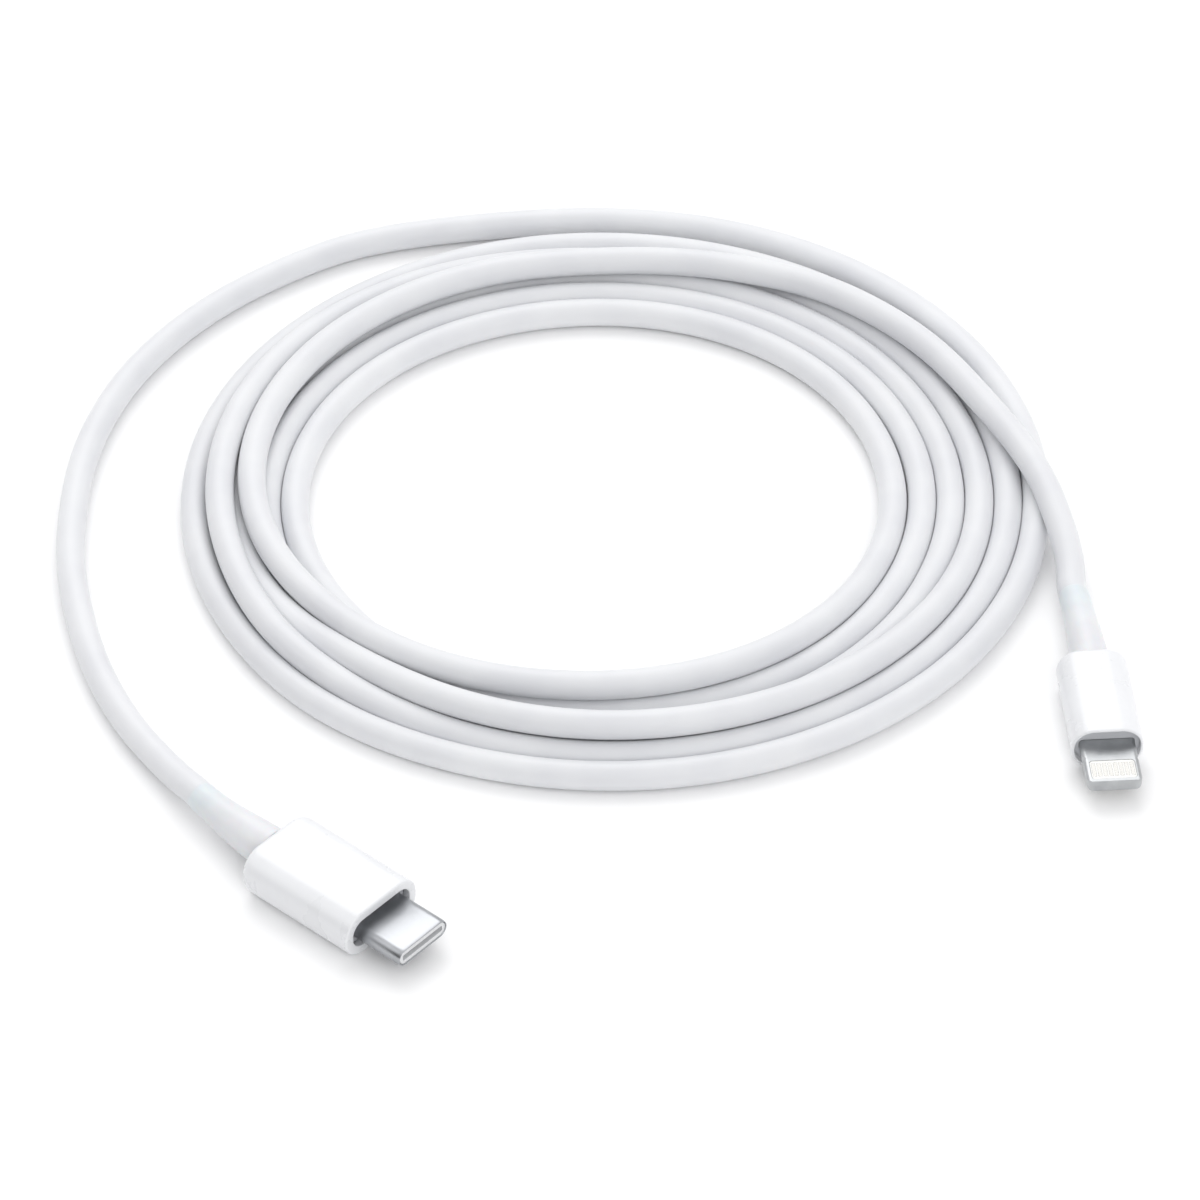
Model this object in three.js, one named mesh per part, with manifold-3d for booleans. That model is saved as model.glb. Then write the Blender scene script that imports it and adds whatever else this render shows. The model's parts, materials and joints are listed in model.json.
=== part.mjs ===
// A two metre charging cable in a loose round coil, lying on a table: a type-C plug on one tail and a
// flat eight-contact blade plug on the other. Millimetres, +Z up, the table's top at z = 0.
import * as THREE from "three";
import { mergeVertices } from "three/addons/utils/BufferGeometryUtils.js";
import Module from "manifold-3d";

const wasm = await Module();
wasm.setup();

// ---- Driving dimensions ----

const CORD_RADIUS = 1.8;
const CORD_SIDES = 8;
const CORD_GAP = 0.3; // between a cord's solid and what it meets
const FIT = 0.05; // between assembled pieces
const SKIN = 0.02; // between a contact or a chip and what carries it
const JOIN = 0.5; // how far the members of one solid run into each other
const REAR_WALL = 1; // each housing's rear wall
const OVERCUT = 1; // how far a cutting solid runs past what it cuts
const CORNER_STEPS = 4; // sides of a rounded corner's half
const ROUND_SIDES = 20; // sides of a small round piece

// The coil's outer shape: six turns, two layers deep in places.
const COIL = { innerRadius: 34.1, outerRadius: 57.4, height: 7, edge: 1.8, segments: 60, edgeSteps: 2 };

// The tails' centrelines, measured from the coil's centre. Each starts beside the coil and ends where its
// plug's strain relief takes it, which the code adds.
const TYPE_C_TAIL = [
  [-31.2, 51.4, 1.82],
  [-38.0, 48.0, 1.82],
  [-47.7, 40.8, 1.82],
  [-55.5, 32.3, 1.82],
  [-62.1, 21.0, 1.82],
  [-66.2, 6.6, 1.82],
  [-66.9, -10.1, 1.82],
  [-65.4, -21.6, 1.82],
  [-62.0, -34.4, 1.85],
  [-57.6, -44.8, 1.9],
  [-53.9, -51.2, 2.2],
];
const BLADE_TAIL = [
  [58.1, -14.2, 2.4],
  [58.3, -17.6, 2.7],
];

// Each plug is drawn along its own +X, with its origin on its axis at the housing's front lip.
// nose is that origin in the coil's coordinates, and yaw turns +X to where the plug points.
// bend is the angle, in degrees, by which the strain relief curves towards the plug's +Y.
const TYPE_C = {
  nose: [-25.8, -79.2],
  yaw: -41,
  housing: { length: 17.2, width: 12.0, height: 6.2, corner: 2.9, wall: 0.8, rearRadius: 1.3, edge: 0.2 },
  mouth: { depth: 1.9, lip: 1.2 },
  face: { recess: 1.0, thickness: 0.8 },
  relief: { length: 13, baseRadius: 2.65, endRadius: 2.0, bend: 10, neckRadius: 2.2 },
  flange: { width: 7.4, height: 4.4, thickness: 0.9 },
  ferrule: { rear: -15.1, front: -13.3, outerRadius: 2.0, innerRadius: 1.5 },
  mould: { rear: -15.0, front: -2.4, width: 10.2, height: 4.4, wall: 0.3, rearWall: 0.8 },
  shield: { rear: -13.1, front: -5.4, width: 9.3, height: 3.5, corner: 1.5, wall: 0.15 },
};
const BLADE = {
  nose: [60.35, -49.9],
  yaw: -86,
  housing: { length: 15.0, width: 8.7, height: 5.8, corner: 2.7, wall: 0.6, rearRadius: 0.9, edge: 0.2 },
  mouth: { depth: 1.9, lip: 0.35 },
  face: { recess: 0.8, thickness: 1.0 },
  relief: { length: 13, baseRadius: 2.35, endRadius: 2.0, bend: -3, neckRadius: 2.1 },
  flange: { width: 5.6, height: 4.4, thickness: 0.9 },
  ferrule: { rear: -13.0, front: -11.7, outerRadius: 1.95, innerRadius: 1.5 },
  mould: { rear: -12.9, front: -5.0, width: 7.4, height: 4.4, wall: 0.3, rearWall: 0.8 },
  shield: { rear: -11.5, front: -5.7, width: 6.5, height: 3.5, corner: 1.5, wall: 0.15 },
};

// The type-C plug's metal and contact pieces.
const SHELL = { width: 8.25, height: 2.4, wall: 0.2, front: 6.5, rear: -7.0, edge: 0.06, clearance: 0.1 };
const CAVITY = { width: 6.0, height: 1.44, corner: 0.1, front: 4.9 }; // inside the contact insulator
const TONGUE_SLOT = { width: 6.7, height: 0.8, corner: 0.2 };
const LATCH_SLOT = { halfWidth: 3.62, halfHeight: 0.36, front: 5.4 };
const INSULATOR = { width: 7.7, height: 1.86, corner: 0.9, front: 6.4, rear: -5.0 };
const GROUND_PAD = { rear: 2.0, front: 4.5, width: 5.4, thickness: 0.08, pocket: 0.12 };
const MID_PLATE = { rear: -6.9, front: 0.3, width: 5.8, thickness: 0.12 };
const LATCH = { rear: -6.6, front: 4.8, inner: 3.05, thickness: 0.15, height: 0.6, hook: 0.7, reach: 0.15 };
const CONTACT_PITCH = 0.5;
const CONTACT_PLACES = 12;
const UPPER_CONTACTS = [0, 3, 4, 5, 6, 8, 11];
const LOWER_CONTACTS = [0, 3, 4, 8, 11];
const CARRIER = { rear: -6.6, front: -5.1, width: 5.9, low: 0.12, high: 0.8 };
const FINGER = { front: 4.7, width: 0.24, low: 0.56, high: 0.68 };
const SOLDER_TAIL = { rear: -8.6, width: 0.3, low: 0.34, high: 0.46 };
const PADDLE_CARD = { rear: -12.6, front: -7.05, width: 8.0, thickness: 0.6 };
const RESISTOR = { x: -10.2, y: 2.6, length: 1.0, width: 0.5, height: 0.35 };

// The blade plug's metal and contact pieces.
const BLADE_FRAME = { width: 6.7, height: 1.5, corner: 0.5, front: 6.65, rear: -5.5, edge: 0.12 };
const BLADE_TIP_RADIUS = 1.1;
const BLADE_SHOULDER = { rear: -3.4, front: -1.95, width: 7.1, height: 2.6, corner: 0.6 };
const BLADE_WINDOW = { rear: 2.9, front: 6.1, width: 5.5, corner: 0.5 };
const BLADE_BORE = { width: 5.5, height: 0.9, corner: 0.2 };
const DETENT = { x: 2.35, radius: 0.5, depth: 0.35 };
const BLADE_CONTACTS = 8;
const PAD = { rear: 3.35, front: 5.65, width: 0.44, pitch: 0.66, thickness: 0.12, below: 0.03 };
const BOARD = { rear: -9.5, front: 4.3, width: 4.8, thickness: 0.5 };
const CHIP = { x: -7.6, length: 2.2, width: 2.6, height: 0.7 };

// Wires leave the ferrule on a circle, spread by their y on the board, which fan is the most of.
const WIRE = { radius: 0.26, sides: 8, steps: 8, circle: 1.1, fan: 2.4, gap: 0.04, lap: 1.2 };

// ---- Materials ----

function plastic(color, roughness) {
  return new THREE.MeshStandardMaterial({ color, roughness, metalness: 0 });
}

function metal(color, roughness) {
  return new THREE.MeshStandardMaterial({ color, roughness, metalness: 1 });
}

const MATERIAL = {
  jacket: plastic(0xecedf0, 0.5),
  housing: plastic(0xf6f7f9, 0.25),
  face: plastic(0xb8babe, 0.4),
  mould: plastic(0xd9dbde, 0.6),
  insulator: plastic(0xf2f2ee, 0.4),
  greyInsulator: plastic(0xd8d9db, 0.45),
  steel: metal(0xc6c8cb, 0.22),
  frameSteel: metal(0xb9bbbd, 0.35),
  tin: metal(0xc9cbcd, 0.4),
  copper: metal(0xb87a4b, 0.4),
  contact: metal(0xb9b7b0, 0.25),
  board: plastic(0x1f5a3c, 0.5),
  chip: plastic(0x18191b, 0.45),
};
const WIRE_COLOURS = [0xb8232a, 0x202124, 0x2c7a45, 0xe8e8e6, 0x2a5aa0];

// ---- Solids ----

const FORWARD = new THREE.Matrix4().makeBasis(
  new THREE.Vector3(0, 1, 0),
  new THREE.Vector3(0, 0, 1),
  new THREE.Vector3(1, 0, 0),
);
const SPUN = new THREE.Matrix4().makeBasis(
  new THREE.Vector3(0, 0, 1),
  new THREE.Vector3(1, 0, 0),
  new THREE.Vector3(0, 1, 0),
);

// A closed three.js geometry as a manifold-3d solid.
function solid(geometry) {
  const bare = new THREE.BufferGeometry();
  const source = geometry.index ? geometry.toNonIndexed() : geometry;
  bare.setAttribute("position", source.getAttribute("position"));
  const merged = mergeVertices(bare, 1e-4);
  return new wasm.Manifold(
    new wasm.Mesh({
      numProp: 3,
      vertProperties: merged.attributes.position.array,
      triVerts: new Uint32Array(merged.index.array),
    }),
  );
}

// A manifold-3d solid as a three.js geometry.
function geometryOf(made) {
  const mesh = made.getMesh();
  const geometry = new THREE.BufferGeometry();
  geometry.setAttribute("position", new THREE.BufferAttribute(new Float32Array(mesh.vertProperties), 3));
  geometry.setIndex(new THREE.BufferAttribute(new Uint32Array(mesh.triVerts), 1));
  geometry.computeVertexNormals();
  return geometry;
}

function roundedRectangle(width, height, radius) {
  const r = Math.min(radius, width / 2, height / 2);
  const x = width / 2 - r;
  const y = height / 2 - r;
  const shape = new THREE.Shape();
  shape.absarc(x, y, r, 0, Math.PI / 2, false);
  shape.absarc(-x, y, r, Math.PI / 2, Math.PI, false);
  shape.absarc(-x, -y, r, Math.PI, 1.5 * Math.PI, false);
  shape.absarc(x, -y, r, 1.5 * Math.PI, 2 * Math.PI, false);
  return shape;
}

// An outline's points without the ones that arcs share with their neighbours.
function outline(shape, steps = CORNER_STEPS) {
  const points = shape.getPoints(steps);
  const distinct = points.filter((p, i) => p.distanceTo(points[(i + 1) % points.length]) > 1e-4);
  return new THREE.Shape(distinct);
}

// A section in the plug's Y and Z, run along X from rear to front.
function bar(shape, rear, front, bevel = 0) {
  const geometry = new THREE.ExtrudeGeometry(outline(shape), {
    depth: front - rear - 2 * bevel,
    bevelEnabled: bevel > 0,
    bevelThickness: bevel,
    bevelSize: bevel,
    bevelOffset: -bevel,
    bevelSegments: 2,
  });
  geometry.translate(0, 0, rear + bevel);
  return solid(geometry.applyMatrix4(FORWARD));
}

function box(rear, front, right, left, low, high) {
  const geometry = new THREE.BoxGeometry(front - rear, left - right, high - low);
  geometry.translate((rear + front) / 2, (right + left) / 2, (low + high) / 2);
  return solid(geometry);
}

// A plan outline in the plug's X and Y about x, run up Z from -height / 2 to height / 2.
function plate(shape, height, x = 0) {
  const geometry = new THREE.ExtrudeGeometry(outline(shape), { depth: height, bevelEnabled: false });
  geometry.translate(x, 0, -height / 2);
  return solid(geometry);
}

// A profile of [x, radius] points spun about the plug's X axis.
function spun(profile) {
  const points = profile.map(([x, radius]) => new THREE.Vector2(radius, x));
  return new THREE.LatheGeometry(points, ROUND_SIDES).applyMatrix4(SPUN);
}

// A round bar about the plug's X axis.
function rod(rear, front, radius) {
  return solid(
    spun([
      [rear, 0],
      [rear, radius],
      [front, radius],
      [front, 0],
    ]),
  );
}

function sum(solids) {
  return solids.reduce((whole, next) => whole.add(next));
}

function mesh(name, shape, material) {
  const made = new THREE.Mesh(shape.isBufferGeometry ? shape : geometryOf(shape), material);
  made.name = name;
  return made;
}

// A tube of the given radius along points, with flat ends.
function tube(points, radius, sides, steps) {
  const section = new THREE.Shape();
  section.absarc(0, 0, radius, 0, 2 * Math.PI, false);
  const path = new THREE.CatmullRomCurve3(points.map((p) => new THREE.Vector3(...p)), false, "centripetal");
  return new THREE.ExtrudeGeometry(outline(section, sides / 2), {
    steps,
    bevelEnabled: false,
    extrudePath: path,
  });
}

// ---- Pieces that both plugs have ----

// A plan outline with its two rear corners rounded, running on past the front lip.
function planWithRoundRear(rear, width, radius) {
  const y = width / 2 - radius;
  const plan = new THREE.Shape();
  plan.moveTo(OVERCUT, width / 2);
  plan.lineTo(rear + radius, width / 2);
  plan.absarc(rear + radius, y, radius, Math.PI / 2, Math.PI, false);
  plan.absarc(rear + radius, -y, radius, Math.PI, 1.5 * Math.PI, false);
  plan.lineTo(OVERCUT, -width / 2);
  return plan;
}

function housing({ housing: h, mouth, relief }) {
  const body = (inset, rear, front, bevel) =>
    bar(roundedRectangle(h.width - 2 * inset, h.height - 2 * inset, h.corner - inset), rear, front, bevel)
      .intersect(plate(planWithRoundRear(rear, h.width - 2 * inset, h.rearRadius - inset), 2 * h.height));
  const lip = 2 * mouth.lip;
  const opening = bar(
    roundedRectangle(h.width - lip, h.height - lip, h.corner - mouth.lip),
    -mouth.depth - FIT,
    OVERCUT,
  );
  const rearHole = rod(-h.length - OVERCUT, -h.length + REAR_WALL + OVERCUT, relief.neckRadius + 2 * FIT);
  const cavity = body(h.wall, -h.length + REAR_WALL, -mouth.depth, 0);
  return body(0, -h.length, 0, h.edge).subtract(cavity).subtract(opening).subtract(rearHole);
}

function frontFace({ housing: h, mouth, face }, hole) {
  const inset = 2 * (mouth.lip + FIT);
  const shape = roundedRectangle(h.width - inset, h.height - inset, h.corner - mouth.lip);
  return bar(shape, -face.recess - face.thickness, -face.recess).subtract(hole);
}

// The soft tapered sleeve behind the housing, with the neck and flange that the housing's rear wall holds.
function strainRelief({ housing: h, relief, flange }) {
  const rear = -h.length - FIT;
  const steps = 6;
  const profile = [[rear, 0]];
  for (let i = 0; i <= steps; i += 1) {
    const along = i / steps;
    const taper = 0.5 - 0.5 * Math.cos(Math.PI * along);
    profile.push([
      rear - relief.length * along,
      relief.baseRadius + (relief.endRadius - relief.baseRadius) * taper,
    ]);
  }
  profile.push([rear - relief.length, 0]);
  const sleeve = spun(profile.reverse());
  bendBehind(sleeve, rear, relief.length, THREE.MathUtils.degToRad(relief.bend));
  const inner = -h.length + REAR_WALL + FIT;
  const neck = rod(rear - flange.thickness / 2, inner + flange.thickness / 2, relief.neckRadius);
  const plateShape = roundedRectangle(flange.width, flange.height - 2 * FIT, h.corner - h.wall - FIT);
  return sum([solid(sleeve), neck, bar(plateShape, inner, inner + flange.thickness)]);
}

// Bends a geometry sideways behind x = start, by angle over length.
function bendBehind(geometry, start, length, angle) {
  const position = geometry.getAttribute("position");
  const radius = length / angle;
  for (let i = 0; i < position.count; i += 1) {
    const back = start - position.getX(i);
    if (back > 0) {
      const turn = (angle * back) / length;
      const side = radius - position.getY(i);
      position.setX(i, start - side * Math.sin(turn));
      position.setY(i, radius - side * Math.cos(turn));
    }
  }
}

function ferrule({ ferrule: f }) {
  const bore = rod(f.rear - OVERCUT, f.front + OVERCUT, f.innerRadius);
  return rod(f.rear, f.front, f.outerRadius).subtract(bore);
}

// A hard sleeve moulded over the shield, open at the front, with a hole behind for the ferrule.
function innerMould({ housing: h, mould: m, ferrule: f }) {
  const corner = h.corner - h.wall - FIT;
  const inset = 2 * m.wall;
  const outer = bar(roundedRectangle(m.width - 2 * FIT, m.height - 2 * FIT, corner), m.rear, m.front);
  const hollow = bar(
    roundedRectangle(m.width - inset, m.height - inset, corner - m.wall),
    m.rear + m.rearWall,
    m.front + OVERCUT,
  );
  const hole = rod(m.rear - OVERCUT, m.rear + m.rearWall + OVERCUT, f.outerRadius + FIT);
  return outer.subtract(hollow).subtract(hole);
}

// One half of the folded shield can. side is 1 for the upper half and -1 for the lower.
function shieldHalf({ shield: s }, side) {
  const outer = bar(roundedRectangle(s.width, s.height, s.corner), s.rear, s.front);
  const hollow = bar(
    roundedRectangle(s.width - 2 * s.wall, s.height - 2 * s.wall, s.corner - s.wall),
    s.rear - OVERCUT,
    s.front + OVERCUT,
  );
  const near = side * FIT;
  const far = side * s.height;
  const half = box(s.rear, s.front, -s.width, s.width, Math.min(near, far), Math.max(near, far));
  return outer.subtract(hollow).intersect(half);
}

// Wire ends fan out of the ferrule to both faces of a board. ends holds each wire's [y, side].
function wireEnds(plugName, { ferrule: f }, board, ends) {
  return ends.map(([y, side], i) => {
    const angle = side * (Math.PI / 2 - (y / WIRE.fan) * (Math.PI / 3));
    const z = side * (board.thickness / 2 + WIRE.radius + WIRE.gap);
    const y0 = WIRE.circle * Math.cos(angle);
    const z0 = WIRE.circle * Math.sin(angle);
    const points = [
      [f.rear + WIRE.radius, y0, z0],
      [f.front, y0, z0],
      [board.rear, y, z],
      [board.rear + WIRE.lap, y, z],
    ];
    const material = plastic(WIRE_COLOURS[i], 0.4);
    return mesh(`${plugName}_wire_${i + 1}`, tube(points, WIRE.radius, WIRE.sides, WIRE.steps), material);
  });
}

function plugGroup({ nose, yaw, housing: h }) {
  const group = new THREE.Group();
  group.position.set(nose[0], nose[1], h.height / 2);
  group.rotation.z = THREE.MathUtils.degToRad(yaw);
  return group;
}

function outerPieces(name, plug, hole) {
  return [
    mesh(`${name}_housing`, housing(plug), MATERIAL.housing),
    mesh(`${name}_front_face`, frontFace(plug, hole), MATERIAL.face),
    mesh(`${name}_strain_relief`, strainRelief(plug), MATERIAL.jacket),
    mesh(`${name}_crimp_ferrule`, ferrule(plug), MATERIAL.copper),
    mesh(`${name}_inner_mould`, innerMould(plug), MATERIAL.mould),
    mesh(`${name}_shield_upper`, shieldHalf(plug, 1), MATERIAL.tin),
    mesh(`${name}_shield_lower`, shieldHalf(plug, -1), MATERIAL.tin),
  ];
}

// ---- The type-C plug ----

function shell() {
  const { width, height, wall, rear, front } = SHELL;
  const outer = bar(roundedRectangle(width, height, height / 2), rear, front, SHELL.edge);
  const inner = bar(
    roundedRectangle(width - 2 * wall, height - 2 * wall, height / 2 - wall),
    rear - OVERCUT,
    front + OVERCUT,
  );
  return outer.subtract(inner);
}

function contactInsulator() {
  const { width, height, corner, rear, front } = INSULATOR;
  const behind = rear - OVERCUT;
  const outer = bar(roundedRectangle(width, height, corner), rear, front);
  const inside = bar(roundedRectangle(CAVITY.width, CAVITY.height, CAVITY.corner), behind, CAVITY.front);
  const slot = bar(
    roundedRectangle(TONGUE_SLOT.width, TONGUE_SLOT.height, TONGUE_SLOT.corner),
    behind,
    front + OVERCUT,
  );
  const { halfWidth, halfHeight } = LATCH_SLOT;
  const sides = box(behind, LATCH_SLOT.front, -halfWidth, halfWidth, -halfHeight, halfHeight);
  const half = GROUND_PAD.width / 2 + 2 * FIT;
  const floor = height / 2 - GROUND_PAD.pocket;
  const pockets = [1, -1].map((side) =>
    box(
      GROUND_PAD.rear - 2 * FIT,
      GROUND_PAD.front + 2 * FIT,
      -half,
      half,
      Math.min(side * floor, side * height),
      Math.max(side * floor, side * height),
    ),
  );
  return outer.subtract(sum([inside, slot, sides])).subtract(sum(pockets));
}

function groundPad(side) {
  const floor = INSULATOR.height / 2 - GROUND_PAD.pocket + SKIN;
  const low = Math.min(side * floor, side * (floor + GROUND_PAD.thickness));
  const half = GROUND_PAD.width / 2;
  return box(GROUND_PAD.rear, GROUND_PAD.front, -half, half, low, low + GROUND_PAD.thickness);
}

// A row of contacts in its moulded carrier, with its solder tails over the paddle card.
function contactModule(places, side) {
  const layer = (rear, front, y, width, part) => {
    const low = Math.min(side * part.low, side * part.high);
    return box(rear, front, y - width / 2, y + width / 2, low, low + part.high - part.low);
  };
  const pieces = [layer(CARRIER.rear, CARRIER.front, 0, CARRIER.width, CARRIER)];
  for (const place of places) {
    const y = side * (place - (CONTACT_PLACES - 1) / 2) * CONTACT_PITCH;
    pieces.push(layer(CARRIER.front - JOIN, FINGER.front, y, FINGER.width, FINGER));
    pieces.push(layer(SOLDER_TAIL.rear, CARRIER.rear + JOIN, y, SOLDER_TAIL.width, SOLDER_TAIL));
  }
  return sum(pieces);
}

// A side spring whose hook grips the socket's tongue. side is 1 for left and -1 for right.
function latchSpring(side) {
  const { rear, front, inner, thickness, height, hook, reach } = LATCH;
  const strip = (from, to, near, far) => {
    const [right, left] = side > 0 ? [near, far] : [-far, -near];
    return box(from, to, right, left, -height / 2, height / 2);
  };
  return strip(rear, front, inner, inner + thickness).add(
    strip(front - hook, front, inner - reach, inner + thickness / 2),
  );
}

function typeCPlug() {
  const group = plugGroup(TYPE_C);
  const { clearance } = SHELL;
  const around = roundedRectangle(
    SHELL.width + 2 * clearance,
    SHELL.height + 2 * clearance,
    SHELL.height / 2 + clearance,
  );
  const hole = bar(around, SHELL.rear, OVERCUT);
  const { rear, front, width, thickness } = PADDLE_CARD;
  const midHalf = MID_PLATE.width / 2;
  const midSide = MID_PLATE.thickness / 2;
  const resistorLow = thickness / 2 + SKIN;
  group.add(
    ...outerPieces("type_c", TYPE_C, hole),
    mesh("type_c_shell", shell(), MATERIAL.steel),
    mesh("type_c_contact_insulator", contactInsulator(), MATERIAL.greyInsulator),
    mesh("type_c_upper_contacts", contactModule(UPPER_CONTACTS, 1), MATERIAL.contact),
    mesh("type_c_lower_contacts", contactModule(LOWER_CONTACTS, -1), MATERIAL.contact),
    mesh("type_c_upper_ground_pad", groundPad(1), MATERIAL.tin),
    mesh("type_c_lower_ground_pad", groundPad(-1), MATERIAL.tin),
    mesh(
      "type_c_mid_plate",
      box(MID_PLATE.rear, MID_PLATE.front, -midHalf, midHalf, -midSide, midSide),
      MATERIAL.steel,
    ),
    mesh("type_c_left_latch", latchSpring(1), MATERIAL.steel),
    mesh("type_c_right_latch", latchSpring(-1), MATERIAL.steel),
    mesh(
      "type_c_paddle_card",
      box(rear, front, -width / 2, width / 2, -thickness / 2, thickness / 2),
      MATERIAL.board,
    ),
    mesh(
      "type_c_resistor",
      box(
        RESISTOR.x - RESISTOR.length / 2,
        RESISTOR.x + RESISTOR.length / 2,
        RESISTOR.y - RESISTOR.width / 2,
        RESISTOR.y + RESISTOR.width / 2,
        resistorLow,
        resistorLow + RESISTOR.height,
      ),
      MATERIAL.chip,
    ),
    ...wireEnds("type_c", TYPE_C, PADDLE_CARD, [
      [-2.4, 1],
      [0, 1],
      [2.4, 1],
      [-1.4, -1],
      [1.4, -1],
    ]),
  );
  return group;
}

// ---- The blade plug ----

// What fills the blade's window, less a gap all round.
function windowPlate(gap, thickness) {
  const { rear, front, width, corner } = BLADE_WINDOW;
  const shape = roundedRectangle(front - rear - 2 * gap, width - 2 * gap, corner - gap);
  return plate(shape, thickness, (rear + front) / 2);
}

function bladeFrame() {
  const { width, height, corner, front, rear, edge } = BLADE_FRAME;
  const tipRadius = BLADE_TIP_RADIUS;
  const half = width / 2;
  const plan = new THREE.Shape();
  plan.moveTo(rear - OVERCUT, -half - OVERCUT);
  plan.lineTo(front - tipRadius, -half - OVERCUT);
  plan.lineTo(front - tipRadius, -half);
  plan.absarc(front - tipRadius, tipRadius - half, tipRadius, 1.5 * Math.PI, 2 * Math.PI, false);
  plan.absarc(front - tipRadius, half - tipRadius, tipRadius, 0, 0.5 * Math.PI, false);
  plan.lineTo(front - tipRadius, half + OVERCUT);
  plan.lineTo(rear - OVERCUT, half + OVERCUT);
  const stock = bar(roundedRectangle(width, height, corner), rear, front, edge);
  const blade = stock.intersect(plate(plan, 2 * height));
  const shoulder = bar(
    roundedRectangle(BLADE_SHOULDER.width, BLADE_SHOULDER.height, BLADE_SHOULDER.corner),
    BLADE_SHOULDER.rear,
    BLADE_SHOULDER.front,
  );
  const window = windowPlate(0, 2 * height);
  const bore = bar(
    roundedRectangle(BLADE_BORE.width, BLADE_BORE.height, BLADE_BORE.corner),
    rear - OVERCUT,
    BLADE_WINDOW.front - JOIN,
  );
  const detents = [1, -1].map((side) => {
    const round = new THREE.CylinderGeometry(DETENT.radius, DETENT.radius, 2 * height, ROUND_SIDES);
    round.rotateX(Math.PI / 2);
    round.translate(DETENT.x, side * (half + DETENT.radius - DETENT.depth), 0);
    return solid(round);
  });
  return blade.add(shoulder).subtract(sum([window, bore])).subtract(sum(detents));
}

// One contact pad, or with grow above 0 the pocket that it lies in. side is 1 for the upper face.
function padAt(index, side, grow) {
  const y = (index - (BLADE_CONTACTS - 1) / 2) * PAD.pitch;
  const top = BLADE_FRAME.height / 2 - PAD.below;
  const deep = top - PAD.thickness - grow;
  const rise = grow > 0 ? top + OVERCUT : top;
  return box(
    PAD.rear - grow,
    PAD.front + grow,
    y - PAD.width / 2 - grow,
    y + PAD.width / 2 + grow,
    Math.min(side * deep, side * rise),
    Math.max(side * deep, side * rise),
  );
}

// The moulded block that fills the blade's window and holds the contacts on both faces.
function bladeInsulator() {
  const block = windowPlate(FIT, BLADE_FRAME.height - 2 * PAD.below);
  const boardSlot = box(
    BLADE_WINDOW.rear - OVERCUT,
    BOARD.front + FIT,
    -BOARD.width / 2 - FIT,
    BOARD.width / 2 + FIT,
    -BOARD.thickness / 2 - FIT,
    BOARD.thickness / 2 + FIT,
  );
  const pockets = [];
  for (let i = 0; i < BLADE_CONTACTS; i += 1) {
    pockets.push(padAt(i, 1, SKIN), padAt(i, -1, SKIN));
  }
  return block.subtract(boardSlot).subtract(sum(pockets));
}

function bladePlug() {
  const group = plugGroup(BLADE);
  const { width, height, corner } = BLADE_FRAME;
  const around = roundedRectangle(width + 2 * FIT, height + 2 * FIT, corner + FIT);
  const hole = bar(around, BLADE_FRAME.rear, OVERCUT);
  const { rear, front, thickness } = BOARD;
  const half = BOARD.width / 2;
  const chipLow = thickness / 2 + SKIN;
  group.add(
    ...outerPieces("blade", BLADE, hole),
    mesh("blade_frame", bladeFrame(), MATERIAL.frameSteel),
    mesh("blade_insulator", bladeInsulator(), MATERIAL.insulator),
    mesh("blade_board", box(rear, front, -half, half, -thickness / 2, thickness / 2), MATERIAL.board),
    mesh(
      "blade_chip",
      box(
        CHIP.x - CHIP.length / 2,
        CHIP.x + CHIP.length / 2,
        -CHIP.width / 2,
        CHIP.width / 2,
        chipLow,
        chipLow + CHIP.height,
      ),
      MATERIAL.chip,
    ),
    ...wireEnds("blade", BLADE, BOARD, [
      [-1.5, 1],
      [1.5, 1],
      [-1.5, -1],
      [1.5, -1],
    ]),
  );
  for (let i = 0; i < BLADE_CONTACTS; i += 1) {
    group.add(mesh(`blade_upper_contact_${i + 1}`, padAt(i, 1, 0), MATERIAL.contact));
    group.add(mesh(`blade_lower_contact_${i + 1}`, padAt(i, -1, 0), MATERIAL.contact));
  }
  return group;
}

// ---- The cord ----

function coilRing() {
  const { innerRadius, outerRadius, height, edge, segments, edgeSteps } = COIL;
  const profile = new THREE.Path();
  profile.moveTo(innerRadius + edge, 0);
  profile.lineTo(outerRadius - edge, 0);
  profile.absarc(outerRadius - edge, edge, edge, -Math.PI / 2, 0, false);
  profile.absarc(outerRadius - edge, height - edge, edge, 0, Math.PI / 2, false);
  profile.lineTo(innerRadius + edge, height);
  profile.absarc(innerRadius + edge, height - edge, edge, Math.PI / 2, Math.PI, false);
  profile.absarc(innerRadius + edge, edge, edge, Math.PI, 1.5 * Math.PI, false);
  const ring = new THREE.LatheGeometry(profile.getPoints(edgeSteps), segments);
  return ring.rotateX(Math.PI / 2);
}

// The cord's last two points at a plug, one radius apart, the last where its strain relief ends.
function reliefExit(plug) {
  const { relief, housing: h } = plug;
  const bend = THREE.MathUtils.degToRad(relief.bend);
  const radius = relief.length / bend;
  const start = -h.length - FIT;
  const local = (back) => {
    const over = Math.min(back, relief.length);
    const turn = (bend * over) / relief.length;
    const beyond = back - over;
    return new THREE.Vector3(
      start - radius * Math.sin(turn) - beyond * Math.cos(bend),
      radius - radius * Math.cos(turn) + beyond * Math.sin(bend),
      0,
    );
  };
  const group = plugGroup(plug);
  group.updateMatrix();
  return [relief.length + CORD_GAP + CORD_RADIUS, relief.length + CORD_GAP].map((back) =>
    local(back).applyMatrix4(group.matrix).toArray(),
  );
}

function tail(name, route, plug, steps) {
  const points = [...route, ...reliefExit(plug)];
  return mesh(name, tube(points, CORD_RADIUS, CORD_SIDES, steps), MATERIAL.jacket);
}

// ---- The whole cable ----

const plugs = new THREE.Group();
plugs.add(typeCPlug(), bladePlug());

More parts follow.
